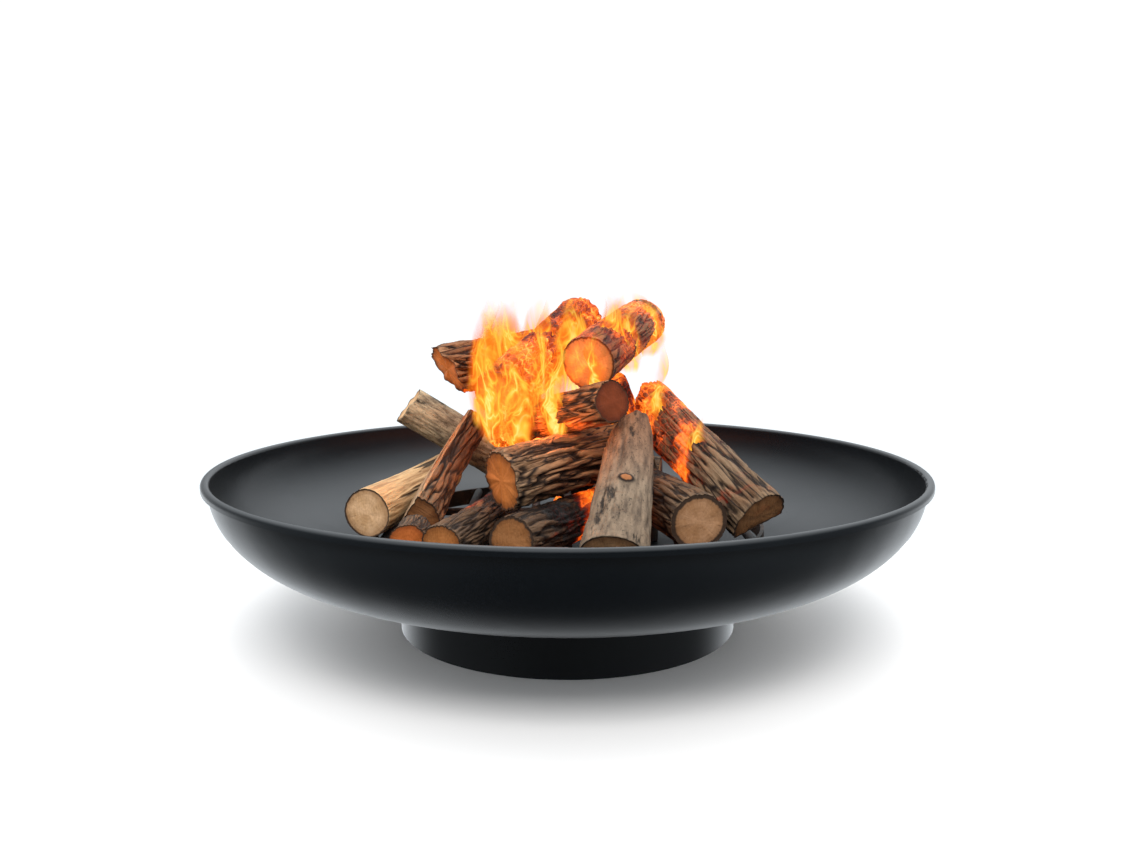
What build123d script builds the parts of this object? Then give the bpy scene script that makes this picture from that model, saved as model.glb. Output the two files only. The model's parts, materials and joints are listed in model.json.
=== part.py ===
from build123d import *
import os
from math import sqrt

# Round steel fire pit: a spun bowl on a base ring, a lift-out log grate, and a stack of firewood.
# Origin at the centre of the base ring's bottom edge, +Z up, the front towards -Y. Millimetres.

# Bowl
rim_radius = 400
rim_height = 187          # top of the rolled rim above the ground
bowl_sheet = 2.5
bead_radius = 4.5         # outer radius of the rim's roll
lip_depth = 7.5           # how far the roll hangs below the rim's top
bowl_floor_height = 62.2  # underside of the flat middle of the bowl
bowl_flat_radius = 181
wall_pull = 73            # how far the side's outside stays upright before it turns in
belly_pull = 119.4        # how far the floor's underside runs out before it turns up
wall_pull_inside = 71.5   # the same two on the inside, shorter so that the sheet's thickness is even
belly_pull_inside = 117.7
drain_radius = 5

# Base ring and the way the bowl is bolted to it
ring_radius = 193.6
ring_sheet = 3
ring_height = 62
bolt_circle_radius = 170
bolt_count = 4
tab_width = 30
tab_sheet = 3
tab_drop = 26
tab_reach = 34
bolt_radius = 4
bolt_hole_radius = 4.3
tab_hole_radius = 4.5
bolt_head_radius = 9
bolt_head_height = 3.5
bolt_head_rounding = 2.8
washer_radius = 8
washer_thickness = 1.6
nut_width = 13            # across flats
nut_height = 6.5
thread_past_nut = 3
hole_cut = 10             # length of the cuts for the bolt holes, longer than the sheet is thick

# Grate
grate_top = 118
grate_radius = 225
grate_ring_sheet = 4
grate_ring_height = 20
bar_diameter = 10
bar_pitch = 40
bar_count = 11
bearer_offset = 110
leg_diameter = 12
leg_chamfer = 1
leg_offset = 110
weld_gap = 0.1
foot_gap = 0.3            # the grate's legs stand this far clear of the bowl's floor

bowl_inner_floor = bowl_floor_height + bowl_sheet
bar_axis_height = grate_top - bar_diameter / 2
bearer_axis_height = bar_axis_height - bar_diameter - weld_gap

# Firewood: foot and tip of each billet's axis, its radius at both ends and its section.
# A split billet's turn is the angle of its flat side about the axis.
firewood = {
    "log_front_left": ("round", (-215, -95, 146), (-155, 122, 154), 27, 24, 0),
    "split_log_left": ("half", (-161, -112, 145), (-122, 80, 220), 28, 22, 305),
    "log_back_left": ("round", (-204, 97, 244), (-60, 176, 139), 25, 24, 0),
    "log_top_left": ("round", (-155, 31, 288), (29, 171, 315), 30, 31, 0),
    "log_top_middle": ("round", (-77, -57, 268), (18, 102, 348), 30, 31, 0),
    "log_top_right": ("round", (22, -57, 303), (97, 146, 344), 31, 30, 0),
    "log_upper_middle": ("round", (47, -133, 271), (-82, 32, 217), 22, 20, 0),
    "log_middle": ("round", (-71, -166, 193), (76, -4, 204), 31, 29, 0),
    "split_log_front": ("half", (42, -237, 134), (68, -80, 240), 33, 23, 170),
    "split_log_right": ("half", (201, -122, 144), (94, 53, 252), 33, 30, 160),
    "log_front_right": ("round", (134, -154, 150), (77, 52, 148), 30, 29, 0),
    "log_low_left": ("round", (-119, -223, 142), (-71, -24, 143), 22, 21, 0),
    "log_low_middle": ("round", (-56, -208, 144), (47, -20, 142), 25, 23, 0),
    "log_stub_left": ("round", (-155, -197, 140), (-156, -143, 139), 19, 18, 0),
    "log_inner_left": ("round", (-70, 228, 164), (-54, 108, 252), 22, 21, 0),
    "log_inner_right": ("round", (98, 140, 144), (51, 82, 272), 22, 21, 0),
    "log_inner_back": ("round", (-39, 216, 141), (125, 179, 141), 22, 21, 0),
}
section_flat = 0.35       # how far a split billet's flat side lies from its axis, over its radius

# Embers: centre, size and turn of each lump of glowing charcoal on the grate
ember_lumps = [
    ((-20, -205, 126), 15, 20),
    ((8, -196, 125), 13, 65),
    ((20, -170, 126), 15, 40),
    ((92, -205, 126), 16, 10),
    ((102, -178, 125), 13, 50),
    ((-125, -130, 125), 13, 30),
    ((-40, -60, 126), 15, 75),
    ((-10, 60, 126), 15, 55),
    ((30, 110, 126), 16, 35),
    ((-40, 110, 125), 13, 5),
]
ember_width = 0.8         # a lump's width, height and knocked-off edge over its length
ember_height = 0.6
ember_edge = 0.12
ember_tilt = 0.5          # a lump's tilt over its turn

os.makedirs("parts", exist_ok=True)


def keep(piece, label):
    """Label one finished piece and write its file."""
    piece.part.label = label
    export_step(piece.part, f"parts/{label}.step")


# Bowl: one sheet, flat in the middle, with its edge rolled outwards and down
wall_radius = rim_radius - 2 * bead_radius
wall_outside = wall_radius + bowl_sheet
lip_inside = rim_radius - bowl_sheet
bead_centre_height = rim_height - bead_radius
lip_bottom = rim_height - lip_depth
with BuildPart() as bowl:
    with BuildSketch(Plane.XZ):
        with BuildLine():
            Line((drain_radius, bowl_inner_floor), (bowl_flat_radius, bowl_inner_floor))
            Bezier(
                (bowl_flat_radius, bowl_inner_floor),
                (bowl_flat_radius + belly_pull_inside, bowl_inner_floor),
                (wall_radius, bead_centre_height - wall_pull_inside),
                (wall_radius, bead_centre_height),
            )
            ThreePointArc(
                (wall_radius, bead_centre_height),
                (rim_radius - bead_radius, rim_height),
                (rim_radius, bead_centre_height),
            )
            Polyline(
                (rim_radius, bead_centre_height),
                (rim_radius, lip_bottom),
                (lip_inside, lip_bottom),
                (lip_inside, bead_centre_height),
            )
            ThreePointArc(
                (lip_inside, bead_centre_height),
                (rim_radius - bead_radius, rim_height - bowl_sheet),
                (wall_outside, bead_centre_height),
            )
            Bezier(
                (wall_outside, bead_centre_height),
                (wall_outside, bead_centre_height - wall_pull),
                (bowl_flat_radius + belly_pull, bowl_floor_height),
                (bowl_flat_radius, bowl_floor_height),
            )
            Polyline(
                (bowl_flat_radius, bowl_floor_height),
                (drain_radius, bowl_floor_height),
                (drain_radius, bowl_inner_floor),
            )
        make_face()
    revolve(axis=Axis.Z)
    with Locations((0, 0, bowl_inner_floor)):
        with PolarLocations(bolt_circle_radius, bolt_count):
            Cylinder(bolt_hole_radius, hole_cut, mode=Mode.SUBTRACT)
keep(bowl, "bowl")

# Base ring: rolled strip that the bowl stands on
with BuildPart() as base_ring:
    with BuildSketch():
        Circle(ring_radius)
        Circle(ring_radius - ring_sheet, mode=Mode.SUBTRACT)
    extrude(amount=ring_height)
keep(base_ring, "base_ring")

# Tabs: angle pieces welded inside the ring, one under each bolt
tab_outer = sqrt((ring_radius - ring_sheet) ** 2 - (tab_width / 2) ** 2) - weld_gap
for number in range(bolt_count):
    with BuildPart() as tab:
        with BuildSketch(Plane.XZ):
            with BuildLine():
                Polyline(
                    (tab_outer - tab_reach, ring_height),
                    (tab_outer, ring_height),
                    (tab_outer, ring_height - tab_drop),
                    (tab_outer - tab_sheet, ring_height - tab_drop),
                    (tab_outer - tab_sheet, ring_height - tab_sheet),
                    (tab_outer - tab_reach, ring_height - tab_sheet),
                    close=True,
                )
            make_face()
        extrude(amount=tab_width / 2, both=True)
        with BuildSketch(Plane.XY.offset(ring_height)):
            with Locations((bolt_circle_radius, 0)):
                Circle(tab_hole_radius)
        extrude(amount=-tab_sheet, mode=Mode.SUBTRACT)
    tab.part = tab.part.rotate(Axis.Z, number * 360 / bolt_count)
    keep(tab, f"tab_{number + 1}")

# Bolts: low round heads inside the bowl, through its floor and the tabs
washer_top = ring_height - tab_sheet
nut_top = washer_top - washer_thickness
with BuildPart() as bowl_bolts:
    with BuildSketch(Plane.XY.offset(bowl_inner_floor)):
        with PolarLocations(bolt_circle_radius, bolt_count):
            Circle(bolt_head_radius)
    extrude(amount=bolt_head_height)
    fillet(bowl_bolts.edges().group_by(Axis.Z)[-1], radius=bolt_head_rounding)
    with BuildSketch(Plane.XY.offset(nut_top - nut_height - thread_past_nut)):
        with PolarLocations(bolt_circle_radius, bolt_count):
            Circle(bolt_radius)
    extrude(until=Until.NEXT)
keep(bowl_bolts, "bowl_bolts")

# Washers under the tabs
with BuildPart() as bolt_washers:
    with BuildSketch(Plane.XY.offset(washer_top)):
        with PolarLocations(bolt_circle_radius, bolt_count):
            Circle(washer_radius)
            Circle(tab_hole_radius, mode=Mode.SUBTRACT)
    extrude(amount=-washer_thickness)
keep(bolt_washers, "bolt_washers")

# Nuts
with BuildPart() as bolt_nuts:
    with BuildSketch(Plane.XY.offset(nut_top)):
        with PolarLocations(bolt_circle_radius, bolt_count):
            RegularPolygon(nut_width / 2, 6, major_radius=False)
            Circle(bolt_radius, mode=Mode.SUBTRACT)
    extrude(amount=-nut_height)
keep(bolt_nuts, "bolt_nuts")

# Grate ring: flat bar on edge
with BuildPart() as grate_ring:
    with BuildSketch(Plane.XY.offset(grate_top)):
        Circle(grate_radius)
        Circle(grate_radius - grate_ring_sheet, mode=Mode.SUBTRACT)
    extrude(amount=-grate_ring_height)
keep(grate_ring, "grate_ring")

# Grate bars: round rods from front to back, level with the ring's top and welded to its inside
bar_reach = grate_radius - grate_ring_sheet - weld_gap
for number in range(bar_count):
    bar_x = (number - (bar_count - 1) / 2) * bar_pitch
    with BuildPart() as grate_bar:
        with BuildSketch(Plane.XZ):
            with Locations((bar_x, bar_axis_height)):
                Circle(bar_diameter / 2)
        extrude(amount=bar_reach, both=True)
        with BuildSketch(Plane.XY):
            Circle(bar_reach)
        extrude(amount=grate_top, mode=Mode.INTERSECT)
    keep(grate_bar, f"grate_bar_{number + 1}")

# Bearers: two rods across, under the bars
for label, side in (("front", -1), ("back", 1)):
    with BuildPart() as bearer:
        with BuildSketch(Plane.YZ):
            with Locations((side * bearer_offset, bearer_axis_height)):
                Circle(bar_diameter / 2)
        extrude(amount=bar_reach, both=True)
        with BuildSketch(Plane.XY):
            Circle(bar_reach)
        extrude(amount=grate_top, mode=Mode.INTERSECT)
    keep(bearer, f"grate_bearer_{label}")

# Legs: four rods that stand on the bowl's floor
leg_top = bearer_axis_height - bar_diameter / 2 - weld_gap
corners = (("front_left", -1, -1), ("front_right", 1, -1), ("back_left", -1, 1), ("back_right", 1, 1))
for label, side, depth in corners:
    with BuildPart() as grate_leg:
        with BuildSketch(Plane.XY.offset(bowl_inner_floor + foot_gap)):
            with Locations((side * leg_offset, depth * bearer_offset)):
                Circle(leg_diameter / 2)
        extrude(amount=leg_top - bowl_inner_floor - foot_gap)
        chamfer(grate_leg.edges().group_by(Axis.Z)[0], length=leg_chamfer)
    keep(grate_leg, f"grate_leg_{label}")


# Firewood: round and split billets, thicker at one end
for label, (section, foot, tip, foot_radius, tip_radius, turn) in firewood.items():
    axis_direction = Vector(tip) - Vector(foot)
    level_direction = axis_direction.cross(Vector(0, 0, 1))
    side_direction = level_direction.rotate(Axis((0, 0, 0), axis_direction), turn)
    foot_plane = Plane(origin=foot, x_dir=side_direction, z_dir=axis_direction)
    with BuildPart() as billet:
        with BuildSketch(foot_plane):
            Circle(foot_radius)
        with BuildSketch(foot_plane.offset(axis_direction.length)):
            Circle(tip_radius)
        loft()
        if section == "half":
            flat_point = foot_plane.origin - foot_plane.y_dir * section_flat * foot_radius
            split(bisect_by=Plane(origin=flat_point, z_dir=foot_plane.y_dir), keep=Keep.TOP)
    keep(billet, label)

# Embers: cornered lumps with their edges knocked off
with BuildPart() as embers:
    for centre, size, turn in ember_lumps:
        with BuildPart(Location(centre, (turn * ember_tilt, 0, turn)), mode=Mode.PRIVATE) as lump:
            Box(size, size * ember_width, size * ember_height)
            chamfer(lump.edges(), length=size * ember_edge)
        add(lump.part)
keep(embers, "embers")
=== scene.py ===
import json
import math
import random

import bmesh
import bpy
import numpy as np
from mathutils import Matrix, Vector, noise


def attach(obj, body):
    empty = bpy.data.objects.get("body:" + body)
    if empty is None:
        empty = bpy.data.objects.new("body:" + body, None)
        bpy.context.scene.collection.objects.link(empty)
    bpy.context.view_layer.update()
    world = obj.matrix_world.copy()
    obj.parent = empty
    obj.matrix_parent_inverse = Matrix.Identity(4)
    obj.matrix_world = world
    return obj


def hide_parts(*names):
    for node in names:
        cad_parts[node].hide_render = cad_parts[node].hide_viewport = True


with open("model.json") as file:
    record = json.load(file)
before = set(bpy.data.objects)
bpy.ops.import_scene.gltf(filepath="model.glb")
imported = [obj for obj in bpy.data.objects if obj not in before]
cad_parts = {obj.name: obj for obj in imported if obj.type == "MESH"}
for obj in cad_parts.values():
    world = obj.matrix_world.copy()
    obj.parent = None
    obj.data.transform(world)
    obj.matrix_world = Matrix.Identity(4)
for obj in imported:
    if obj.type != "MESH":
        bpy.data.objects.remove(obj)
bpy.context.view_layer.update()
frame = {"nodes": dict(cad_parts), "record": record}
scene = bpy.context.scene
print("frame loaded:", len(frame["nodes"]), "nodes")

# Helpers that write a finish's nodes as sums.


class Sock:
    # a shader output that can be used in sums
    def __init__(self, finish, out):
        self.finish = finish
        self.out = out

    def math(self, operation, *others, clamp=False):
        values = {i + 1: other for i, other in enumerate(others)}
        values[0] = self
        settings = {"operation": operation, "use_clamp": clamp}
        return self.finish.node("ShaderNodeMath", settings, values)

    def __add__(self, other):
        return self.math("ADD", other)

    def __radd__(self, other):
        return self.math("ADD", other)

    def __sub__(self, other):
        return self.math("SUBTRACT", other)

    def __rsub__(self, other):
        return self.finish.node("ShaderNodeMath", {"operation": "SUBTRACT"}, {0: other, 1: self})

    def __mul__(self, other):
        return self.math("MULTIPLY", other)

    def __rmul__(self, other):
        return self.math("MULTIPLY", other)

    def clamp(self):
        return self.math("ADD", 0.0, clamp=True)

    def smallest(self, other):
        return self.math("MINIMUM", other)

    def sine(self):
        return self.math("SINE")

    def step(self, low, high):
        # 0 below low, 1 above high, smooth between; high may be the smaller
        settings = {"interpolation_type": "SMOOTHSTEP"}
        values = {"Value": self, "From Min": low, "From Max": high}
        return self.finish.node("ShaderNodeMapRange", settings, values)


class Finish:
    # one material and the nodes that it is made of
    def __init__(self, name):
        self.material = bpy.data.materials.new(name)
        self.material.use_nodes = True
        self.tree = self.material.node_tree
        self.tree.nodes.clear()
        self.shader = self.tree.nodes.new("ShaderNodeBsdfPrincipled")
        output = self.tree.nodes.new("ShaderNodeOutputMaterial")
        self.tree.links.new(self.shader.outputs[0], output.inputs["Surface"])

    def node(self, kind, settings=None, values=None, output=0):
        made = self.tree.nodes.new(kind)
        for key, setting in (settings or {}).items():
            if key == "stops":
                self.fillRamp(made.color_ramp, setting)
            else:
                setattr(made, key, setting)
        for key, value in (values or {}).items():
            self.feed(made.inputs[key], value)
        return Sock(self, made.outputs[output])

    def fillRamp(self, ramp, stops):
        for number, (place, colour) in enumerate((stops[0], stops[-1])):
            ramp.elements[number].position = place
            ramp.elements[number].color = (*colour, 1.0)
        for place, colour in stops[1:-1]:
            ramp.elements.new(place).color = (*colour, 1.0)

    def feed(self, socket, value):
        if isinstance(value, Sock):
            self.tree.links.new(value.out, socket)
        elif socket.type == "RGBA" and len(value) == 3:
            socket.default_value = (*value, 1.0)
        else:
            socket.default_value = value

    def set(self, **values):
        for key, value in values.items():
            self.feed(self.shader.inputs[key.replace("_", " ")], value)

    def place(self, stretch=(1, 1, 1)):
        # the piece's own coordinates in metres, stretched
        spot = self.node("ShaderNodeTexCoord", output=3)
        return self.node("ShaderNodeVectorMath", {"operation": "MULTIPLY"}, {0: spot, 1: stretch})

    def noise(self, spot, scale, detail=4.0, roughness=0.55, distortion=0.0):
        values = {"Vector": spot, "Scale": scale, "Detail": detail}
        values.update({"Roughness": roughness, "Distortion": distortion})
        return self.node("ShaderNodeTexNoise", {}, values)

    def cells(self, spot, scale, feature="F1"):
        return self.node("ShaderNodeTexVoronoi", {"feature": feature}, {"Vector": spot, "Scale": scale})

    def ramp(self, value, stops):
        return self.node("ShaderNodeValToRGB", {"stops": stops}, {"Fac": value})

    def mix(self, factor, first, second, blend="MIX"):
        # the colour sockets of a Mix node are numbers 6 and 7, its colour output is number 2
        settings = {"data_type": "RGBA", "blend_type": blend}
        return self.node("ShaderNodeMix", settings, {0: factor, 6: first, 7: second}, output=2)

    def amount(self, name):
        # a number kept at each point of the mesh
        return self.node("ShaderNodeAttribute", {"attribute_name": name}, output=2)

    def bump(self, height, depth, strength=1.0):
        values = {"Height": height, "Distance": depth, "Strength": strength}
        self.set(Normal=self.node("ShaderNodeBump", {}, values))


coating = {
    "colour": (0.0018, 0.0030, 0.0044),
    "dust": (0.0055, 0.0075, 0.0092),
    "roughness": 0.30,
    "grainSize": 900.0,      # coating grains to the metre
    "grainDepth": 0.00004,
}


def makeCoating():
    coat = Finish("satinBlackCoating")
    spot = coat.place()
    cloud = coat.noise(spot, 5.0, detail=5.0)
    fine = coat.noise(spot, coating["grainSize"], detail=2.0)
    wear = coat.noise(spot, 38.0, detail=6.0, roughness=0.65)
    film = cloud.step(0.42, 0.72) * 0.35 + wear.step(0.58, 0.78) * 0.22
    coat.set(Base_Color=coat.mix(film, coating["colour"], coating["dust"]))
    coat.set(Roughness=coating["roughness"] + (cloud - 0.5) * 0.12 + (fine - 0.5) * 0.08)
    coat.set(Specular_IOR_Level=0.55)
    coat.bump(fine, coating["grainDepth"], 0.6)
    return coat.material


grateFinish = {
    "colour": (0.018, 0.017, 0.016),
    "scale": (0.055, 0.034, 0.024),
    "ash": (0.16, 0.15, 0.14),
}


def makeGrateSteel():
    steel = Finish("heatedGrateSteel")
    spot = steel.place()
    patches = steel.noise(spot, 30.0, detail=7.0, roughness=0.7)
    flakes = steel.cells(spot, 260.0)
    ash = steel.noise(spot, 75.0, detail=5.0)
    base = steel.mix(patches.step(0.45, 0.62), grateFinish["colour"], grateFinish["scale"])
    base = steel.mix(ash.step(0.6, 0.75) * 0.5, base, grateFinish["ash"])
    steel.set(Base_Color=base)
    steel.set(Roughness=0.62 + patches * 0.25)
    steel.set(Metallic=0.35)
    steel.bump(flakes * 0.4 + patches, 0.0004, 0.7)
    return steel.material


zincFinish = {
    "bright": (0.52, 0.53, 0.54),
    "dull": (0.30, 0.29, 0.27),
    "spangleSize": 420.0,    # crystals to the metre
}


def makeZinc():
    zinc = Finish("zincFasteners")
    spot = zinc.place()
    spangle = zinc.cells(spot, zincFinish["spangleSize"])
    grime = zinc.noise(spot, 90.0, detail=5.0)
    zinc.set(Base_Color=zinc.mix(grime.step(0.45, 0.7), zincFinish["bright"], zincFinish["dull"]))
    zinc.set(Metallic=0.9)
    zinc.set(Roughness=0.34 + spangle * 0.25)
    zinc.bump(spangle, 0.0001, 0.4)
    return zinc.material


blackCoating = makeCoating()
grateSteel = makeGrateSteel()
zincSteel = makeZinc()

for name, node in frame["nodes"].items():
    if name.startswith("grate"):
        finishFor = grateSteel
    elif name in ("bolt_nuts", "bolt_washers"):
        finishFor = zincSteel
    else:
        finishFor = blackCoating
    node.data.materials.clear()
    node.data.materials.append(finishFor)
    for polygon in node.data.polygons:
        polygon.material_index = 0
print("steel finished")

woodColours = {
    "barkDark": (0.013, 0.0072, 0.0045),
    "barkShade": (0.040, 0.022, 0.013),
    "barkBrown": (0.090, 0.046, 0.024),
    "barkTan": (0.40, 0.265, 0.150),
    "barkRust": (0.17, 0.078, 0.034),
    "smoothDark": (0.060, 0.040, 0.027),
    "smoothPale": (0.215, 0.150, 0.100),
    "smoothCream": (0.55, 0.42, 0.26),
    "spots": (0.012, 0.010, 0.009),
    "knot": (0.30, 0.115, 0.04),
    "strippedPale": (0.60, 0.39, 0.195),
    "strippedDark": (0.30, 0.165, 0.075),
    "sawnPale": (0.72, 0.47, 0.28),
    "sawnTan": (0.52, 0.31, 0.155),
    "sawnDark": (0.21, 0.100, 0.040),
    "splitPale": (0.52, 0.34, 0.19),
    "splitDark": (0.19, 0.105, 0.055),
    "char": (0.0085, 0.0072, 0.0065),
    "charGrey": (0.045, 0.040, 0.037),
    "fireLight": (1.0, 0.30, 0.045),
    "paintedFireLightTint": (1.1, 0.50, 0.22),
}
glowStops = [
    (0.0, (0.0, 0.0, 0.0)),
    (0.22, (0.15, 0.008, 0.0)),
    (0.45, (0.72, 0.085, 0.004)),
    (0.72, (1.0, 0.28, 0.02)),
    (1.0, (1.0, 0.64, 0.14)),
]
glowStrength = 1.3


def burn(wood, spot, colour, height, lit=0.0):
    # blackens whatever the mesh says is burnt and makes whatever it says is hot glow, with painted flame
    # light in tongues that stand upright; lit adds painted fire light
    char = wood.amount("burntShare")
    heat = wood.amount("hotShare")
    upright = wood.node("ShaderNodeAttribute", {"attribute_name": "restPlace"}, output=1)
    upright = wood.node("ShaderNodeVectorMath", {"operation": "MULTIPLY"}, {0: upright, 1: (1, 1, 0.45)})
    blocks = wood.cells(spot, 120.0, "DISTANCE_TO_EDGE")
    patchy = wood.noise(spot, 42.0, detail=6.0, roughness=0.62, distortion=0.6)
    charred = (char * 1.5 + patchy - 0.95).step(0.0, 0.30)
    # painted fire light: wood near the fire heart has its colour warmed orange
    near = wood.amount("fireNear")
    colour = wood.mix(near, colour, wood.mix(1.0, colour, woodColours["paintedFireLightTint"], "MULTIPLY"))
    coal = wood.mix(patchy.step(0.5, 0.72), woodColours["char"], woodColours["charGrey"])
    wood.set(Base_Color=wood.mix(charred, colour, coal))
    # painted flame light: upright tongues of glow on the wood surface stand in for flames in front of it
    licks = wood.noise(upright, 27.0, detail=2.0, roughness=0.45, distortion=1.5)
    strands = (1.0 - (licks - 0.5).math("ABSOLUTE") * 13.0).clamp()
    broad = wood.noise(upright, 15.0, detail=3.0, distortion=1.0)
    veil = (broad + heat * 0.36).step(0.66, 0.88)
    cracks = (1.0 - blocks.step(0.0, 0.13)) * heat.step(0.25, 0.9)
    glow = veil * (0.34 + strands * 0.42 + licks.step(0.48, 0.70) * 0.30) + cracks * 0.22
    glow = glow * heat.step(0.02, 0.25)
    wood.set(Emission_Color=wood.mix(lit, wood.ramp(glow, glowStops), woodColours["fireLight"], "ADD"))
    wood.set(Emission_Strength=glowStrength)
    wood.set(Roughness=0.70 + patchy * 0.24)
    wood.set(Specular_IOR_Level=0.35)
    wood.bump(height + charred * blocks.smallest(0.3) * 2.0, 0.0022)


def makeRoughBark():
    bark = Finish("furrowedBark")
    along = bark.place((1, 1, 0.13))
    spot = bark.place()
    ridges = bark.noise(along, 120.0, detail=9.0, roughness=0.68, distortion=0.7)
    plates = bark.cells(along, 75.0, "DISTANCE_TO_EDGE")
    patches = bark.noise(spot, 26.0, detail=6.0)
    deep = bark.amount("furrow")
    crest = bark.mix(bark.amount("paleness"), woodColours["barkBrown"], woodColours["barkTan"])
    # ridge lows take the bark's shade colour and ridge tops the pale crest colour, following the bump's
    # noise: partly the bark's own tone, partly painted shade
    colour = bark.mix(ridges.step(0.34, 0.60), woodColours["barkShade"], crest)
    colour = bark.mix(patches.step(0.50, 0.68) * 0.55, colour, woodColours["barkRust"])
    colour = bark.mix(1.0 - plates.step(0.0, 0.08), colour, woodColours["barkDark"])
    # painted shade: the mesh's furrows are painted near-black
    colour = bark.mix(deep.step(0.25, 0.85) * 0.93, colour, woodColours["barkDark"])
    burn(bark, spot, colour, ridges * 1.5 + plates.smallest(0.25))
    return bark.material


def makeSmoothBark():
    bark = Finish("smoothSpottedBark")
    along = bark.place((1, 1, 0.35))
    around = bark.place((0.35, 0.35, 1.6))
    spot = bark.place()
    grain = bark.noise(along, 110.0, detail=8.0, roughness=0.7)
    bands = bark.noise(around, 60.0, detail=4.0)
    blotches = bark.noise(along, 38.0, detail=8.0, roughness=0.72)
    specks = bark.noise(spot, 420.0, detail=3.0, roughness=0.6)
    knot = bark.amount("knot")
    pale = bark.mix(bark.amount("paleness"), woodColours["smoothPale"], woodColours["smoothCream"])
    colour = bark.mix(grain.step(0.28, 0.66), woodColours["smoothDark"], pale)
    colour = bark.mix(bands.step(0.56, 0.74) * 0.4, colour, woodColours["barkRust"])
    colour = bark.mix(specks.step(0.60, 0.68) * 0.8, colour, woodColours["spots"])
    colour = bark.mix(blotches.step(0.575, 0.64) * 0.9, colour, woodColours["spots"])
    colour = bark.mix(knot.step(0.10, 0.45), colour, woodColours["barkDark"])
    colour = bark.mix(knot.step(0.50, 0.75), colour, woodColours["knot"])
    burn(bark, spot, colour, grain + bands * 0.4 - blotches.step(0.575, 0.64) * 0.5)
    return bark.material


def makeStripped():
    stripped = Finish("strippedPaleWood")
    along = stripped.place((1, 1, 0.06))
    spot = stripped.place()
    fibres = stripped.noise(along, 170.0, detail=6.0, roughness=0.6)
    checks = stripped.noise(along, 75.0, detail=3.0, distortion=0.3)
    tone = stripped.noise(spot, 16.0, detail=4.0)
    colour = stripped.mix(fibres.step(0.34, 0.64), woodColours["strippedDark"], woodColours["strippedPale"])
    colour = stripped.mix(tone.step(0.5, 0.75) * 0.5, colour, woodColours["strippedDark"])
    colour = stripped.mix(checks.step(0.61, 0.66) * 0.9, colour, woodColours["barkDark"])
    burn(stripped, spot, colour, fibres * 0.6 - checks.step(0.60, 0.67))
    return stripped.material


def makeSplit():
    split = Finish("splitFace")
    along = split.place((1, 1, 0.06))
    spot = split.place()
    fibres = split.noise(along, 180.0, detail=7.0, roughness=0.62, distortion=0.3)
    splinters = split.noise(along, 55.0, detail=5.0)
    colour = split.mix(fibres.step(0.3, 0.66), woodColours["splitDark"], woodColours["splitPale"])
    colour = split.mix(splinters.step(0.55, 0.75) * 0.7, colour, woodColours["splitDark"])
    burn(split, spot, colour, fibres + splinters)
    return split.material


def makeSawnEnd():
    sawn = Finish("sawnEnd")
    spot = sawn.place()
    flat = sawn.place((1, 1, 0))
    wobble = sawn.noise(flat, 30.0, detail=3.0)
    reach = sawn.node("ShaderNodeVectorMath", {"operation": "LENGTH"}, {0: flat}, output=1)
    across = sawn.node("ShaderNodeSeparateXYZ", {}, {0: flat})
    angle = across.math("ARCTAN2", Sock(sawn, across.out.node.outputs[1]))
    rim = sawn.amount("rimShare")
    rings = ((reach + wobble * 0.010) * 1700.0).sine() * 0.5 + 0.5
    turned = {0: angle.sine() * 2.0, 1: angle.math("COSINE") * 2.0, 2: reach * 6.0}
    turn = sawn.node("ShaderNodeCombineXYZ", {}, turned)
    rays = sawn.noise(turn, 9.0, detail=6.0, roughness=0.7)
    cloud = sawn.noise(spot, 55.0, detail=6.0, roughness=0.65)
    saw = sawn.noise(sawn.place((1, 0.05, 1)), 600.0, detail=2.0)
    colour = sawn.mix(cloud.step(0.35, 0.68), woodColours["sawnPale"], woodColours["sawnTan"])
    colour = sawn.mix(rings * 0.07 + rays.step(0.46, 0.72) * 0.34, colour, woodColours["sawnDark"])
    colour = sawn.mix(rays.step(0.665, 0.72) * 0.85, colour, woodColours["barkDark"])
    colour = sawn.mix(rim.step(0.60, 0.95) * 0.55, colour, woodColours["sawnDark"])
    # the end colour is multiplied by each billet's wood tone and char together with painted shade and
    # painted fire light
    tint = sawn.node("ShaderNodeAttribute", {"attribute_name": "endTint"})
    colour = sawn.mix(1.0, colour, tint, "MULTIPLY")
    edge = rim + (cloud - 0.5) * 0.06 + sawn.amount("barkThick")
    colour = sawn.mix(edge.step(0.895, 0.965), colour, woodColours["barkShade"])
    # painted fire light: the sawn end emits orange light as if lit by the fire, weaker towards its bark rim
    lit = sawn.amount("fireLit") * (1.0 - rim.step(0.55, 0.95) * 0.75) * (0.65 + cloud * 0.7)
    burn(sawn, spot, colour, rings * 0.03 + saw * 0.3 + cloud * 0.4 - rays.step(0.64, 0.72), lit)
    return sawn.material


def makeCoals():
    coals = Finish("glowingCoals")
    spot = coals.place()
    crust = coals.mix(coals.noise(spot, 60.0), woodColours["char"], woodColours["charGrey"])
    burn(coals, spot, crust, coals.noise(spot, 150.0))
    return coals.material


barks = {"rough": makeRoughBark(), "smooth": makeSmoothBark(), "stripped": makeStripped()}
splitWood = makeSplit()
sawnWood = makeSawnEnd()
coalFinish = makeCoals()
print("wood finishes made")
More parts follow.
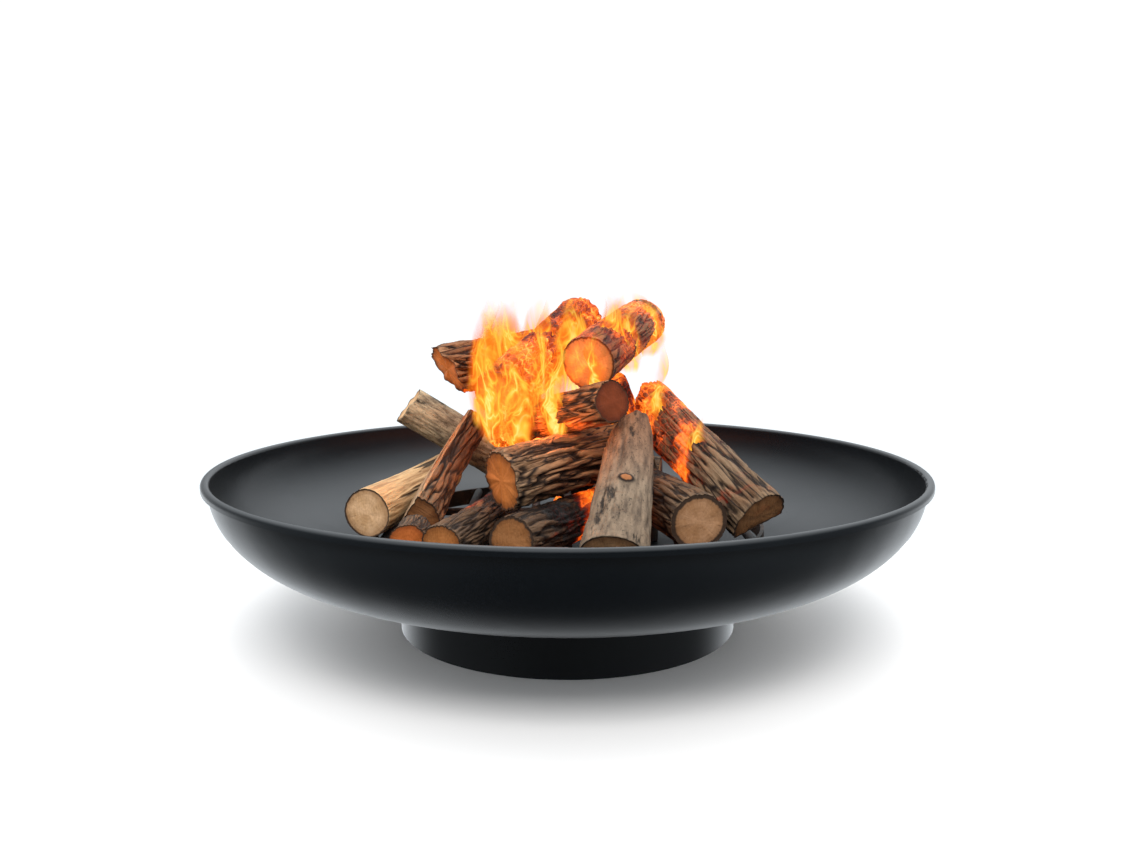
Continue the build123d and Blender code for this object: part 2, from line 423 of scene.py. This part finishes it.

# Each billet: its bark, how pale it is, how deep (in metres) and how many the furrows are, how hot and
# how burnt it is at its front and back ends, the colour its sawn ends are multiplied by (their wood tone
# and char, with painted shade on ends that lie in shadow and painted fire light on ends near the fire),
# how much painted fire light they show, how thick the bark round them is, how far the ends slant, and
# its knots (share of length, direction).
billets = {
    "log_front_left": {
        "bark": "stripped", "pale": 0.8, "relief": 0.0010, "furrows": 6.0,
        "heat": (0, 0), "char": (0, 0.3),
        "tint": (1.0, 0.95, 0.88), "lit": 0.0,
    },
    "split_log_left": {
        "bark": "rough", "pale": 0.22, "relief": 0.0042, "furrows": 3.4,
        "heat": (0, 0.3), "char": (0, 0.3),
        "tint": (0.45, 0.29, 0.18), "lit": 0.0,
    },
    "log_back_left": {
        "bark": "smooth", "pale": 0.9, "relief": 0.0012, "furrows": 5.0,
        "heat": (0, 0.2), "char": (0, 0.4),
        "tint": (0.9, 0.85, 0.75), "lit": 0.0, "lean": (0.25, 0.1),
    },
    "log_top_left": {
        "bark": "rough", "pale": 0.72, "relief": 0.0052, "furrows": 3.2,
        "heat": (0.35, 1.1), "char": (0.1, 0.5),
        "tint": (0.8, 0.42, 0.2), "lit": 0.12, "lean": (0.15, -0.5),
    },
    "log_top_middle": {
        "bark": "rough", "pale": 0.4, "relief": 0.0046, "furrows": 4.2,
        "heat": (0.85, 0.9), "char": (0.6, 0.5),
        "tint": (0.5, 0.2, 0.08), "lit": 0.8,
    },
    "log_top_right": {
        "bark": "rough", "pale": 0.4, "relief": 0.0020, "furrows": 5.5,
        "heat": (0.42, 1.1), "char": (0.1, 0.35),
        "tint": (0.95, 0.95, 0.80), "lit": 0.07,
    },
    "log_upper_middle": {
        "bark": "rough", "pale": 0.75, "relief": 0.0034, "furrows": 4.2,
        "heat": (0.0, 1.0), "char": (0.05, 0.6),
        "tint": (0.20, 0.080, 0.040), "lit": 0.02,
    },
    "log_middle": {
        "bark": "rough", "pale": 0.78, "relief": 0.0058, "furrows": 4.6,
        "heat": (0, 0.05), "char": (0, 0.1),
        "tint": (0.74, 0.40, 0.17), "lit": 0.08, "lean": (0.22, -0.12),
    },
    "split_log_front": {
        "bark": "smooth", "pale": 0.06, "relief": 0.0014, "furrows": 3.0,
        "heat": (0, 0), "char": (0, 0),
        "tint": (0.55, 0.45, 0.36), "lit": 0.0, "lean": (0, 0),
        "backLean": (0.7, -0.5), "knots": [(0.42, (-0.05, -1.0, 0.2))],
    },
    "split_log_right": {
        "bark": "rough", "pale": 0.36, "relief": 0.0034, "furrows": 5.5,
        "heat": (0.10, 1.15), "char": (0, 0.25),
        "tint": (0.50, 0.35, 0.23), "lit": 0.0, "backLean": (0.2, -0.45),
    },
    "log_front_right": {
        "bark": "rough", "pale": 0.22, "relief": 0.0026, "furrows": 5.5,
        "heat": (0, 0.2), "char": (0.1, 0.6),
        "tint": (0.60, 0.49, 0.42), "lit": 0.0, "thick": 0.085,
    },
    "log_low_left": {
        "bark": "rough", "pale": 0.16, "relief": 0.0028, "furrows": 5.0,
        "heat": (0, 0.3), "char": (0.1, 0.6),
        "tint": (0.60, 0.34, 0.16), "lit": 0.01,
    },
    "log_low_middle": {
        "bark": "rough", "pale": 0.10, "relief": 0.0032, "furrows": 4.6,
        "heat": (0.05, 0.8), "char": (0.2, 0.9),
        "tint": (0.44, 0.28, 0.16), "lit": 0.0, "thick": 0.05,
    },
    "log_stub_left": {
        "bark": "rough", "pale": 0.15, "relief": 0.0020, "furrows": 5.0,
        "heat": (0, 0), "char": (0.1, 0.5),
        "tint": (0.62, 0.24, 0.09), "lit": 0.05,
    },
    "log_inner_left": {
        "bark": "rough", "pale": 0.2, "relief": 0.0022, "furrows": 5.0,
        "heat": (0.9, 1.0), "char": (0.7, 0.8),
        "tint": (0.3, 0.1, 0.05), "lit": 0.1,
    },
    "log_inner_right": {
        "bark": "rough", "pale": 0.3, "relief": 0.0022, "furrows": 5.0,
        "heat": (0.8, 0.3), "char": (0.7, 0.3),
        "tint": (0.3, 0.1, 0.05), "lit": 0.1,
    },
    "log_inner_back": {
        "bark": "rough", "pale": 0.3, "relief": 0.0022, "furrows": 5.0,
        "heat": (0.1, 0.3), "char": (0.4, 0.6),
        "tint": (0.6, 0.4, 0.25), "lit": 0.0,
    },
}
billetMesh = {
    "around": 128, "rowLength": 0.0020, "bow": 0.0022, "endTaper": 0.010, "shortestSlant": 0.02,
    "inset": 0.0008, "lump": 0.0022, "knotHeight": 0.0028, "knotWide": 0.0075, "knotLong": 0.0055,
    "splinters": 0.0016, "slight": 0.08,
    "capShares": (0.985, 0.955, 0.925, 0.89, 0.8, 0.66, 0.5, 0.34, 0.18),
}
fireHeart = (-0.01, -0.02, 0.27)
# the fire's tint on the wood is painted fire light in its colour
fireReach = 0.20         # metres from the heart to where the wood is no longer tinted by the fire


def billetShape(node):
    # the axis and the two end centres and radii of a packed billet
    mesh = frame["nodes"][node].data
    points = np.array([vertex.co[:] for vertex in mesh.vertices])
    guess = np.linalg.svd(points - points.mean(0), full_matrices=False)[2][0]
    axis = np.zeros(3)
    for polygon in mesh.polygons:
        normal = np.array(polygon.normal[:])
        if abs(normal @ guess) > 0.97:
            axis += normal * math.copysign(polygon.area, normal @ guess)
    axis /= np.linalg.norm(axis)
    if axis[1] < 0:
        axis = -axis
    side = np.cross(axis, (0, 0, 1))
    side /= np.linalg.norm(side)
    over = np.cross(axis, side)
    heights = points @ axis
    ends = []
    for limit in (heights.min(), heights.max()):
        ring = points[abs(heights - limit) < 0.0004]
        flat = np.stack([ring @ side, ring @ over], 1)
        known = np.hstack([flat * 2, np.ones((len(flat), 1))])
        answer = np.linalg.lstsq(known, (flat ** 2).sum(1), rcond=None)[0]
        radius = math.sqrt(answer[2] + answer[0] ** 2 + answer[1] ** 2)
        ends.append((side * answer[0] + over * answer[1] + axis * limit, radius))
    return axis, ends


def flatSide(node, axis, ends):
    # the direction out of a split billet's flat side, and its distance from the axis
    mesh = frame["nodes"][node].data
    best = None
    for polygon in mesh.polygons:
        normal = np.array(polygon.normal[:])
        if abs(normal @ axis) < 0.05 and (best is None or polygon.area > best[0]):
            best = (polygon.area, normal, np.array(polygon.center[:]))
    return best[1], (best[2] - ends[0][0]) @ best[1]


def keep(mesh, name, values):
    # one number at each point of the mesh, for its finish to read
    layer = mesh.attributes.new(name, "FLOAT", "POINT")
    layer.data.foreach_set("value", values)


def makeBillet(node, look, seed):
    axis, ends = billetShape(node)
    (front, frontRadius), (back, backRadius) = ends
    length = float((back - front) @ axis)
    flat = flatSide(node, axis, ends) if node.startswith("split") else None
    up = -flat[0] if flat else np.cross(axis, np.cross((0.0, 0.0, 1.0), axis))
    up = up / np.linalg.norm(up)
    side = np.cross(up, axis)
    place = Matrix((
        (side[0], up[0], axis[0], front[0]),
        (side[1], up[1], axis[1], front[1]),
        (side[2], up[2], axis[2], front[2]),
        (0, 0, 0, 1),
    ))
    toLocal = place.inverted()
    pick = random.Random(seed)
    shift = Vector((pick.uniform(-50, 50), pick.uniform(-50, 50), pick.uniform(-50, 50)))
    most = billetMesh["slight"]
    slight = [(pick.uniform(-most, most), pick.uniform(-most, most)) for _ in range(2)]
    leans = (look.get("lean", slight[0]), look.get("backLean", slight[1]))
    bowTurn = pick.uniform(0, math.tau)
    around = billetMesh["around"]
    rows = int(length / billetMesh["rowLength"])
    relief = look["relief"]
    knots = []
    for along, way in look.get("knots", ()):
        local = toLocal.to_3x3() @ Vector(way)
        knots.append((along * length, math.atan2(local.y, local.x)))

    def surface(turn, along):
        radius = frontRadius + (backRadius - frontRadius) * along
        x, y = math.cos(turn), math.sin(turn)
        z = along * length
        near = min(min(z, length - z) / billetMesh["endTaper"], 1)
        lump = noise.noise(Vector((x * 0.8, y * 0.8, z * 9)) + shift)
        sway = noise.noise(Vector((x * 1.5, y * 1.5, z * 26)) + shift) * 0.55
        k = look["furrows"]
        ridge = noise.noise(Vector((x * k + sway, y * k + sway, z * 13)) + shift)
        small = noise.fractal(Vector((x * 2.4 * k, y * 2.4 * k, z * 55)) + shift, 0.85, 2.1, 4)
        furrow = max(0.0, 1 - abs(ridge) * 4.2)
        bark = 0.30 + small * 0.30 - furrow * 1.1
        radius += -billetMesh["inset"] + lump * billetMesh["lump"] + relief * bark * (0.4 + 0.6 * near)
        knot = 0.0
        for height, knotTurn in knots:
            gap = abs((turn - knotTurn + math.pi) % math.tau - math.pi) * radius
            aside, ahead = gap / billetMesh["knotWide"], (z - height) / billetMesh["knotLong"]
            knot = max(knot, math.exp(-(aside ** 2 + ahead ** 2)))
        radius += billetMesh["knotHeight"] * knot
        x, y = x * radius, y * radius
        if flat and y < -flat[1]:
            grain = noise.fractal(Vector((x * 150, 3.0, z * 9)) + shift, 1.0, 2.0, 3)
            y = -flat[1] + abs(grain) * billetMesh["splinters"]
        bend = billetMesh["bow"] * math.sin(math.pi * along)
        return x + bend * math.cos(bowTurn), y + bend * math.sin(bowTurn), z, furrow * near, knot

    verts, faces, kinds, furrows, knotShares, rims = [], [], [], [], [], []
    for row in range(rows + 1):
        along = row / rows
        for step in range(around):
            x, y, z, furrow, knot = surface(step * math.tau / around, along)
            slants = ((leans[0], z, 1, frontRadius), (leans[1], length - z, -1, backRadius))
            for (leanX, leanY), gap, sign, radius in slants:
                steep = math.hypot(leanX, leanY)
                slant = max(billetMesh["shortestSlant"], 2.4 * steep * radius)
                ragged = noise.noise(Vector((x * 90, y * 90, sign * 5)) + shift) * steep * 0.012
                z += max(0.0, 1 - gap / slant) * (leanX * x + leanY * y + steep * radius + ragged) * sign
            verts.append((x, y, z))
            furrows.append(furrow)
            knotShares.append(knot)
            rims.append(1.0)
    for row in range(rows):
        for step in range(around):
            a = row * around + step
            b = row * around + (step + 1) % around
            faces.append((a, b, b + around, a + around))
            middle = (verts[a][1] + verts[b + around][1]) / 2
            kinds.append(2 if flat and middle < -flat[1] + 0.0024 else 0)
    for end, base in ((0, 0), (1, rows * around)):
        ring = list(range(base, base + around))
        rim = [Vector(verts[v]) for v in ring]
        centre = sum(rim, Vector()) / around
        for share in billetMesh["capShares"]:
            new = []
            for point in rim:
                spot = centre + (point - centre) * share
                rough = noise.fractal(Vector((spot.x * 90, spot.y * 90, end * 7)) + shift, 1.0, 2.0, 3)
                spot.z += (0.0005 + rough * 0.0006) * (1 if end == 0 else -1)
                new.append(len(verts))
                verts.append(spot[:])
                rims.append(share)
            for step in range(around):
                a, b = ring[step], ring[(step + 1) % around]
                c, d = new[(step + 1) % around], new[step]
                faces.append((d, c, b, a) if end == 0 else (a, b, c, d))
                kinds.append(1)
            ring = new
        verts.append(centre[:])
        rims.append(0.0)
        hub = len(verts) - 1
        for step in range(around):
            a, b = ring[step], ring[(step + 1) % around]
            faces.append((hub, b, a) if end == 0 else (a, b, hub))
            kinds.append(1)

    mesh = bpy.data.meshes.new(node.replace("_", "") + "Wood")
    mesh.from_pydata(verts, [], faces)
    for finish in (barks[look["bark"]], sawnWood, splitWood):
        mesh.materials.append(finish)
    mesh.polygons.foreach_set("material_index", kinds)
    mesh.polygons.foreach_set("use_smooth", [True] * len(faces))
    piece = bpy.data.objects.new(node + "_wood", mesh)
    scene.collection.objects.link(piece)
    piece.matrix_world = place
    rest = [place @ Vector(v) for v in verts]
    capVerts = len(verts) - len(furrows)
    keep(mesh, "furrow", furrows + [0.0] * capVerts)
    keep(mesh, "knot", knotShares + [0.0] * capVerts)
    keep(mesh, "rimShare", rims)
    keep(mesh, "barkThick", [look.get("thick", 0.0)] * len(verts))
    keep(mesh, "paleness", [look["pale"]] * len(verts))
    keep(mesh, "fireLit", [look["lit"]] * len(verts))
    # how much painted fire light warms the colour, most near the fire heart
    gaps = [(spot - Vector(fireHeart)).length for spot in rest]
    keep(mesh, "fireNear", [min(max((fireReach - gap) / (fireReach * 0.6), 0), 0.85) for gap in gaps])
    for key, share in (("heat", "hotShare"), ("char", "burntShare")):
        low, high = look[key]
        values = []
        for v, spot in zip(verts, rest):
            spread = noise.noise(Vector(v) * 22 + shift) * 0.18
            value = low + (high - low) * min(max(v[2] / length, 0), 1) + spread * (high > 0.25)
            gap = (spot - Vector(fireHeart)).length
            values.append(min(max(value * (1.15 - gap * 1.2), 0), 1))
        keep(mesh, share, values)
    layer = mesh.attributes.new("restPlace", "FLOAT_VECTOR", "POINT")
    layer.data.foreach_set("vector", [part for spot in rest for part in spot])
    # each billet's end tone, with its painted shade and painted fire light, kept at every point
    layer = mesh.attributes.new("endTint", "FLOAT_COLOR", "POINT")
    layer.data.foreach_set("color", [*look["tint"], 1.0] * len(verts))
    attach(piece, "firewood")
    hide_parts(node)
    slot = next(part["material_slot"] for part in frame["record"]["subparts"] if part["node"] == node)


for seed, (node, look) in enumerate(billets.items()):
    makeBillet(node, look, seed + 3)
print("billets made:", len(billets))

emberLook = {"detail": 3, "size": 0.86, "largest": 1.1, "lumpiness": 0.28, "facets": 0.10, "heat": 0.95}


def looseLumps(node):
    # (centre, half size) of each separate solid in a node
    mesh = frame["nodes"][node].data
    work = bmesh.new()
    work.from_mesh(mesh)
    bmesh.ops.remove_doubles(work, verts=work.verts, dist=0.00001)
    waiting = set(work.verts)
    lumps = []
    while waiting:
        start = min(waiting, key=lambda v: v.index)
        group, edgeOf = {start}, [start]
        while edgeOf:
            here = edgeOf.pop()
            for edge in here.link_edges:
                other = edge.other_vert(here)
                if other not in group:
                    group.add(other)
                    edgeOf.append(other)
        waiting -= group
        points = np.array([v.co[:] for v in group])
        low, high = points.min(0), points.max(0)
        lumps.append(((low + high) / 2, (high - low) / 2))
    work.free()
    return sorted(lumps, key=lambda lump: tuple(lump[0]))


def makeEmbers():
    made = bmesh.new()
    heatLayer = made.verts.layers.float.new("hotShare")
    charLayer = made.verts.layers.float.new("burntShare")
    restLayer = made.verts.layers.float_vector.new("restPlace")
    for number, (centre, half) in enumerate(looseLumps("embers")):
        shift = Vector((number * 7.3, 2.1, number * 3.7))
        ball = bmesh.ops.create_icosphere(made, subdivisions=emberLook["detail"], radius=1.0)
        for vertex in ball["verts"]:
            way = vertex.co.normalized()
            facet = noise.cell(way * 2.3 + shift) * emberLook["facets"]
            rough = noise.fractal(way * 2.2 + shift, 1.0, 2.0, 4) * emberLook["lumpiness"]
            size = min(emberLook["size"] + rough + facet, emberLook["largest"])
            vertex.co = Vector(centre) + Vector((way.x * half[0], way.y * half[1], way.z * half[2])) * size
            vertex[heatLayer] = emberLook["heat"]
            vertex[charLayer] = 1.0
            vertex[restLayer] = vertex.co
    mesh = bpy.data.meshes.new("emberBed")
    made.to_mesh(mesh)
    made.free()
    mesh.materials.append(coalFinish)
    piece = bpy.data.objects.new("ember_bed", mesh)
    scene.collection.objects.link(piece)
    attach(piece, "firewood")
    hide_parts("embers")


makeEmbers()
print("embers made")

flameLook = {
    "colours": [
        (0.0, (0.75, 0.075, 0.004)),
        (0.35, (1.0, 0.20, 0.012)),
        (0.65, (1.0, 0.47, 0.042)),
        (1.0, (1.0, 0.84, 0.27)),
    ],
    "strength": 1.32,
    "rows": 26,
    "columns": 12,
    "highest": 0.388,
    "sway": 0.028,
    "sink": 0.030,
    "curl": 0.014,
    "cup": 0.006,
}
# the foot of each tongue in metres, its height, its width and the turn of its sheet in degrees
flameTongues = [
    ((-0.092, -0.030, 0.225), 0.150, 0.046, 10), ((-0.085, -0.055, 0.230), 0.130, 0.044, -25),
    ((-0.060, -0.010, 0.240), 0.148, 0.055, 35), ((-0.050, -0.075, 0.225), 0.120, 0.046, 5),
    ((-0.030, -0.050, 0.250), 0.120, 0.048, 60), ((-0.015, -0.090, 0.235), 0.105, 0.042, -15),
    ((0.005, -0.030, 0.262), 0.110, 0.050, 20), ((0.030, -0.070, 0.265), 0.080, 0.036, -40),
    ((-0.092, 0.050, 0.240), 0.140, 0.055, 75), ((-0.040, 0.060, 0.250), 0.135, 0.058, -60),
    ((0.050, 0.060, 0.275), 0.110, 0.050, 80), ((0.075, 0.010, 0.285), 0.095, 0.042, 15),
    ((0.100, 0.080, 0.300), 0.085, 0.044, -30), ((-0.075, 0.100, 0.220), 0.150, 0.055, 0),
    ((0.110, -0.010, 0.215), 0.120, 0.040, 25), ((-0.012, -0.095, 0.225), 0.085, 0.036, 0),
    ((-0.082, -0.078, 0.215), 0.150, 0.046, -10), ((-0.070, 0.030, 0.250), 0.138, 0.064, 15),
    ((-0.035, 0.010, 0.262), 0.126, 0.062, -5), ((0.000, 0.010, 0.270), 0.118, 0.056, 12),
    ((-0.088, 0.000, 0.245), 0.143, 0.056, -8), ((0.050, -0.010, 0.285), 0.103, 0.046, -12),
    ((0.095, 0.110, 0.320), 0.068, 0.046, 6), ((0.142, -0.055, 0.185), 0.078, 0.032, 20),
    ((-0.050, -0.110, 0.205), 0.110, 0.040, 12), ((0.070, 0.120, 0.300), 0.088, 0.052, -20),
]


def makeFlameFinish():
    flame = Finish("flameTongues")
    spot = flame.place((1, 1, 0.4))
    height = flame.amount("flameHeight")
    middle = flame.amount("flameMiddle")
    wisps = flame.noise(spot, 42.0, detail=2.5, roughness=0.5, distortion=1.8)
    body = flame.noise(spot, 16.0, detail=2.0, distortion=0.8)
    core = (1.0 - (wisps - 0.5).math("ABSOLUTE") * 8.0).clamp()
    glow = middle * 0.45 + core * 0.45 + (1.0 - height) * 0.25 - 0.18
    flame.set(Emission_Color=flame.ramp(glow, flameLook["colours"]))
    flame.set(Emission_Strength=flameLook["strength"])
    flame.set(Base_Color=(0.0, 0.0, 0.0), Roughness=1.0, Specular_IOR_Level=0.0)
    thin = middle.step(0.02, 0.55) * (body + middle * 0.35 - height * 0.25).step(0.30, 0.62)
    flame.set(Alpha=thin * height.step(1.0, 0.55) * height.step(0.0, 0.12) * (0.55 + core * 0.45))
    return flame.material


def makeFlames():
    verts, faces, heights, middles = [], [], [], []
    rows, columns = flameLook["rows"], flameLook["columns"]
    for number, (foot, tall, wide, turn) in enumerate(flameTongues):
        tall = min(tall, flameLook["highest"] - foot[2])
        shift = Vector((number * 3.1, number * 5.7, 1.3))
        ahead = Vector((math.cos(math.radians(turn)), math.sin(math.radians(turn)), 0))
        across = Vector((-ahead.y, ahead.x, 0))
        start = len(verts)
        for row in range(rows + 1):
            up = row / rows
            spread = wide * 0.5 * math.sin(math.pi * (0.16 + 0.84 * up)) ** 0.8
            sway = noise.noise(Vector((0, 0, up * 2.2)) + shift) * flameLook["sway"] * up
            sink = noise.noise(Vector((9, 0, up * 2.0)) + shift) * flameLook["sink"] * up
            for column in range(columns + 1):
                part = column / columns * 2 - 1
                curl = noise.noise(Vector((part * 0.9, up * 3.0, 4)) + shift) * flameLook["curl"]
                cup = part * part * flameLook["cup"]
                spot = Vector(foot) + ahead * (part * spread + sway) + across * (curl + sink + cup)
                verts.append((spot.x, spot.y, spot.z + up * tall))
                heights.append(up)
                middles.append(1 - abs(part))
        for row in range(rows):
            for column in range(columns):
                a = start + row * (columns + 1) + column
                faces.append((a, a + 1, a + columns + 2, a + columns + 1))
    mesh = bpy.data.meshes.new("flameTongues")
    mesh.from_pydata(verts, [], faces)
    mesh.materials.append(makeFlameFinish())
    mesh.polygons.foreach_set("use_smooth", [True] * len(faces))
    keep(mesh, "flameHeight", heights)
    keep(mesh, "flameMiddle", middles)
    piece = bpy.data.objects.new("flames", mesh)
    scene.collection.objects.link(piece)
    piece.visible_shadow = False
    piece.visible_glossy = False
    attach(piece, "firewood")


makeFlames()
print("flames made:", len(flameTongues))

stage = {
    "floorRadius": 0.64,
    "floorDrop": 0.0005,     # the gap under the base ring, in metres
    "floorColour": (0.925, 0.90, 0.88),
    "floorCloud": (0.895, 0.87, 0.85),
}
# How bright the room is to the eye (shown), as soft light (soft) and in the steel's reflections (the
# rest). Each pair says over which part of a direction, back (y), up (z) or sideways (x), it comes in.
room = {
    "colour": (0.93, 0.985, 1.03), "shown": 1.1,
    "soft": 1.50, "softSides": 0.75, "softSideways": (0.3, 0.95),
    "back": 0.85, "backBack": (0.1, 0.95),
    "dim": 0.45, "dimSideways": (0.0, -0.45), "dimUp": (-0.05, 0.1),
    "edges": 1.0, "edgesSideways": (0.12, 0.4), "edgesUp": (0.0, -0.2),
    "front": 0.26, "frontBack": (-0.2, -0.7), "frontUp": (0.1, 0.4),
    "ceiling": 2.0, "ceilingUp": (0.15, 1.0),
    "ground": 0.11, "groundUp": (-0.03, -0.2), "groundMiddle": 0.75,
    "groundSides": 1.6, "groundSideways": (0.1, 0.8), "groundSidesUp": (-0.25, -0.55),
    "below": 0.5, "belowUp": (-0.35, -0.75),
    "sides": 0.20, "sidesSideways": (0.55, 0.98), "sidesTop": (0.35, 0.05), "sidesFoot": (-0.3, -0.05),
    "sidesLeast": 0.05,
}
fireLamp = {"power": 1.1, "colour": (1.0, 0.36, 0.09), "radius": 0.035, "place": (-0.035, -0.10, 0.245)}
# each panel's size, power, place, what it points at, colour and whether the steel mirrors it
panels = {
    "topPanel": ((1.8, 1.2), 9, (0.0, 0.4, 1.9), (0, 0, 0.1), (1, 1, 1), True),
    "leftPanel": ((0.5, 1.4), 6, (-1.7, 0.35, 0.8), (0, 0, 0.15), (1, 1, 1), False),
    "rightPanel": ((0.5, 1.4), 6, (1.7, 0.35, 0.8), (0, 0, 0.15), (1.0, 0.97, 0.94), False),
    "frontPanel": ((2.0, 1.0), 60, (0.0, -2.1, 2.3), (0, 0, 0.1), (1, 1, 1), False),
}
view = {"sensor": 36.0, "lens": 31.37, "shift": 0.0022, "place": (0.0, -1.1347, 0.3785), "down": 7.65}


def makeFloor():
    mesh = bpy.data.meshes.new("floor")
    disc = bmesh.new()
    bmesh.ops.create_circle(disc, cap_ends=True, segments=96, radius=stage["floorRadius"])
    bmesh.ops.translate(disc, verts=disc.verts, vec=(0, 0, -stage["floorDrop"]))
    disc.to_mesh(mesh)
    disc.free()
    paper = Finish("paleFloor")
    cloud = paper.noise(paper.place(), 1.5)
    paper.set(Base_Color=paper.mix(cloud * 0.1, stage["floorColour"], stage["floorCloud"]))
    paper.set(Roughness=0.7)
    mesh.materials.append(paper.material)
    floor = bpy.data.objects.new("floor", mesh)
    scene.collection.objects.link(floor)
    floor.visible_glossy = False   # the steel mirrors the room's own floor below


def addPanel(name, size, power, position, target, colour, mirrored):
    light = bpy.data.lights.new(name, "AREA")
    light.shape = "RECTANGLE"
    light.size, light.size_y = size
    light.energy = power
    light.color = colour
    lamp = bpy.data.objects.new(name, light)
    lamp.location = position
    lamp.visible_glossy = mirrored
    lamp.rotation_euler = (Vector(target) - Vector(position)).to_track_quat("-Z", "Y").to_euler()
    scene.collection.objects.link(lamp)


def addFireLight():
    # the warm light of the burning middle of the stack on the wood and steel around it
    light = bpy.data.lights.new("fireLight", "POINT")
    light.energy = fireLamp["power"]
    light.color = fireLamp["colour"]
    light.shadow_soft_size = fireLamp["radius"]
    lamp = bpy.data.objects.new("fireLight", light)
    lamp.location = fireLamp["place"]
    lamp.visible_camera = False
    lamp.visible_glossy = False
    scene.collection.objects.link(lamp)


def makeWorld():
    # an even white room, but shiny steel mirrors a dark front, a bright back and a bright ceiling
    world = bpy.data.worlds.new("studio")
    scene.world = world
    world.use_nodes = True
    tree = world.node_tree
    tree.nodes.clear()

    def add(kind, links=(), **settings):
        made = tree.nodes.new(kind)
        for key, setting in settings.items():
            setattr(made, key, setting)
        for key, value in links:
            if isinstance(value, (int, float)):
                made.inputs[key].default_value = value
            else:
                tree.links.new(value, made.inputs[key])
        return made

    def maths(operation, first, second):
        return add("ShaderNodeMath", ((0, first), (1, second)), operation=operation).outputs[0]

    def times(first, second):
        return maths("MULTIPLY", first, second)

    def between(value, fade, start, end):
        links = [("Value", value), ("To Min", start), ("To Max", end)]
        links += [("From Min", room[fade][0]), ("From Max", room[fade][1])]
        return add("ShaderNodeMapRange", links, interpolation_type="SMOOTHSTEP").outputs[0]

    way = add("ShaderNodeSeparateXYZ", ((0, add("ShaderNodeTexCoord").outputs["Generated"]),))
    rays = add("ShaderNodeLightPath")
    across, back, up = way.outputs
    sideways = maths("ABSOLUTE", across, 0.0)

    dim = times(between(across, "dimSideways", 0.0, room["dim"]), between(up, "dimUp", 0.0, 1.0))
    edges = times(between(sideways, "edgesSideways", 0.0, room["edges"]), between(up, "edgesUp", 0.0, 1.0))
    depth = times(between(back, "backBack", 0.0, room["back"]), maths("SUBTRACT", 1.0, dim))
    depth = times(depth, maths("ADD", 1.0, edges))

    spread = between(sideways, "groundSideways", 0.0, room["groundSides"])
    spread = maths("ADD", times(spread, between(up, "groundSidesUp", 0.0, 1.0)), room["groundMiddle"])
    ground = times(between(up, "groundUp", 0.0, room["ground"]), spread)

    low = times(between(up, "sidesTop", 0.0, 1.0), between(up, "sidesFoot", room["sidesLeast"], 1.0))
    sides = times(between(sideways, "sidesSideways", 0.0, room["sides"]), low)
    front = times(between(back, "frontBack", 0.0, room["front"]), between(up, "frontUp", 0.0, 1.0))
    ceiling = between(up, "ceilingUp", 0.0, room["ceiling"])

    mirrored = times(maths("ADD", depth, ground), between(up, "belowUp", 1.0, room["below"]))
    mirrored = maths("ADD", mirrored, maths("ADD", ceiling, maths("ADD", sides, front)))
    soft = between(sideways, "softSideways", room["soft"], room["softSides"])
    level = times(mirrored, rays.outputs["Is Glossy Ray"])
    level = maths("ADD", level, times(rays.outputs["Is Diffuse Ray"], soft))
    level = maths("ADD", level, times(rays.outputs["Is Camera Ray"], room["shown"]))
    sky = add("ShaderNodeBackground", (("Strength", level),))
    sky.inputs["Color"].default_value = (*room["colour"], 1)
    add("ShaderNodeOutputWorld", ((0, sky.outputs[0]),))


def makeCamera():
    lens = bpy.data.cameras.new("camera")
    lens.sensor_width = view["sensor"]
    lens.lens = view["lens"]
    lens.shift_x = view["shift"]
    camera = bpy.data.objects.new("camera", lens)
    camera.location = view["place"]
    camera.rotation_euler = (math.radians(90 - view["down"]), 0, 0)
    scene.collection.objects.link(camera)
    scene.camera = camera


makeFloor()
makeWorld()
for name, panel in panels.items():
    addPanel(name, *panel)
addFireLight()
makeCamera()
scene.view_settings.view_transform = "Standard"
print("stage set")
